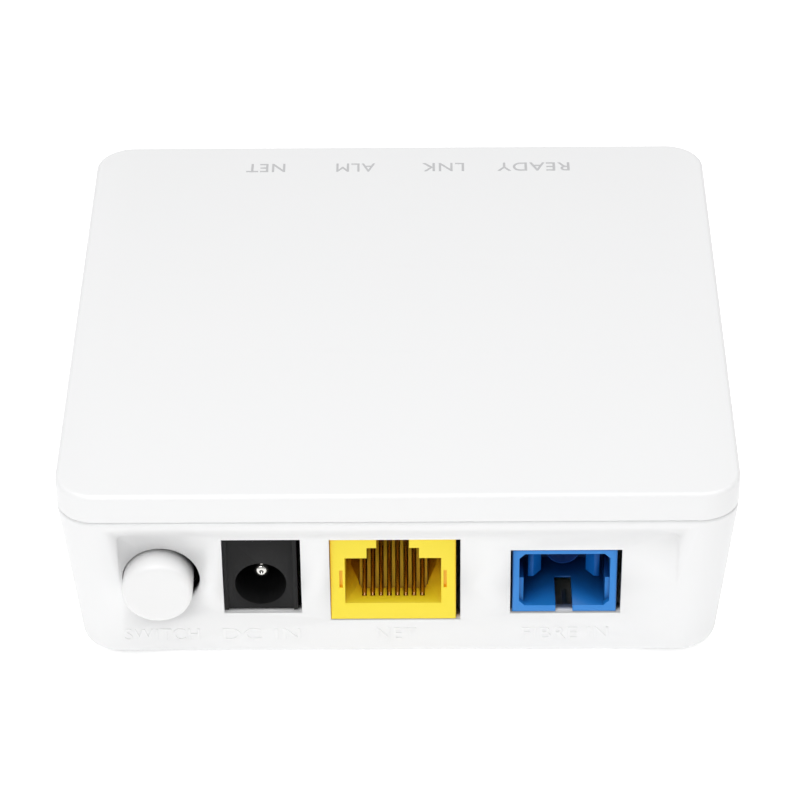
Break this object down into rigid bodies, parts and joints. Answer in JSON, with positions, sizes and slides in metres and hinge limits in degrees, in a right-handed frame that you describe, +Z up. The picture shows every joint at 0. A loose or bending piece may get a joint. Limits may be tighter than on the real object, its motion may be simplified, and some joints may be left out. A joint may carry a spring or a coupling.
{
  "type": "optical network terminal",
  "caption": "Small square optical network terminal: two-part white case with a push power button, a barrel power socket, a LAN socket and a fibre socket in one side.",
  "frame": {"origin": "bottom centre of the whole object's box, push button included: the feet stand on Z = 0, the cover runs in Y from -38.9 to 41.1 mm and the button's front is at Y = -41.1 mm", "axes": "+Z up; the sockets and the button face -Y; the indicator lights face +Y; looking at the sockets, +X is to the right"},
  "size_m": [0.083, 0.0822, 0.027],
  "materials": {
    "shell_white": "smooth glossy white moulding",
    "cap_white": "smooth glossy white moulding",
    "guide_clear": "clear polycarbonate",
    "foot_rubber": "matt dark grey",
    "label_paper": "plain printed-label stock, left blank",
    "screw_steel": "zinc plated",
    "board_green": "green solder mask over glass-fibre board",
    "chip_black": "moulded epoxy",
    "solder_tin": "tinned",
    "pad_grey": "soft gap filler",
    "sink_aluminium": "clear anodised",
    "can_steel": "drawn can",
    "ferrite_grey": "pressed ferrite",
    "can_aluminium": "drawn can",
    "ceramic_tan": "sintered ceramic",
    "resistor_black": "glass-coated ceramic",
    "light_lens": "milky lens",
    "switch_black": "moulded",
    "slider_white": "moulded acetal",
    "contact_bronze": "phosphor bronze strip",
    "spring_steel": "spring wire",
    "socket_black": "moulded",
    "pin_nickel": "nickel plated",
    "socket_yellow": "moulded nylon",
    "block_amber": "moulded nylon",
    "contact_gold": "gold plated",
    "socket_blue": "moulded",
    "arm_blue": "moulded",
    "holder_blue": "moulded",
    "zirconia_white": "polished zirconia",
    "block_nickel": "nickel plated",
    "can_gold": "gold plated"
  },
  "bodies": {
    "case": {"bottom_case": "shell_white", "top_cover": "shell_white", "light_guide": "guide_clear", "rubber_feet": "foot_rubber", "blank_label": "label_paper", "case_screws": "screw_steel", "board_screws": "screw_steel", "circuit_board": "board_green", "main_chip": "chip_black", "main_chip_balls": "solder_tin", "thermal_pad": "pad_grey", "heat_sink": "sink_aluminium", "memory_chip": "chip_black", "flash_chip": "chip_black", "driver_chip": "chip_black", "regulator_chips": "chip_black", "chip_leads": "solder_tin", "lan_transformer": "chip_black", "transformer_leads": "solder_tin", "crystal": "can_steel", "power_inductors": "ferrite_grey", "capacitor_cans": "can_aluminium", "capacitor_bases": "chip_black", "smd_capacitors": "ceramic_tan", "smd_resistors": "resistor_black", "indicator_lights": "light_lens", "switch_housing": "switch_black", "switch_terminals": "solder_tin", "switch_latch_wire": "spring_steel", "switch_spring": "spring_steel", "power_socket_housing": "socket_black", "power_centre_pin": "pin_nickel", "power_terminals": "solder_tin", "lan_socket_housing": "socket_yellow", "lan_contact_block": "block_amber", "lan_contact_rails": "contact_gold", "optical_socket_housing": "socket_blue", "sleeve_holder": "holder_blue", "split_sleeve": "zirconia_white", "fibre_stub": "zirconia_white", "transceiver_block": "block_nickel", "laser_can": "can_gold", "photodiode_can": "can_gold", "transceiver_leads": "contact_gold"},
    "power_button": {"button_cap": "cap_white", "switch_slider": "slider_white", "switch_wipers": "contact_bronze"},
    "lan_contact_springs": {"lan_contacts": "contact_gold"},
    "power_leaf": {"power_leaf_contact": "pin_nickel"},
    "latch_right": {"latch_arm_right": "arm_blue"},
    "latch_left": {"latch_arm_left": "arm_blue"}
  },
  "joints": [
    {"name": "power_button_press", "type": "slide", "parent": "case", "child": "power_button", "axis": [0, 1, 0], "range_m": [0, 0.0025], "stiffness_N_per_m": 250, "springref_m": -0.002, "deforming": ["switch_spring"]},
    {"name": "lan_contact_flex", "type": "hinge", "parent": "case", "child": "lan_contact_springs", "pos_m": [-0.00065, -0.0351, 0.00885], "axis": [-1, 0, 0], "range_deg": [0, 9]},
    {"name": "power_leaf_flex", "type": "hinge", "parent": "case", "child": "power_leaf", "pos_m": [-0.0169, -0.0284, 0.01615], "axis": [-1, 0, 0], "range_deg": [0, 4]},
    {"name": "latch_right_flex", "type": "hinge", "parent": "case", "child": "latch_right", "pos_m": [0.02425, -0.0279, 0.0129], "axis": [0, 0, 1], "range_deg": [0, 4]},
    {"name": "latch_left_flex", "type": "hinge", "parent": "case", "child": "latch_left", "pos_m": [0.01645, -0.0279, 0.0129], "axis": [0, 0, 1], "range_deg": [-4, 0]}
  ],
  "couplings": [
    {"joint": "latch_left_flex", "follows": "latch_right_flex", "ratio": -1}
  ]
}
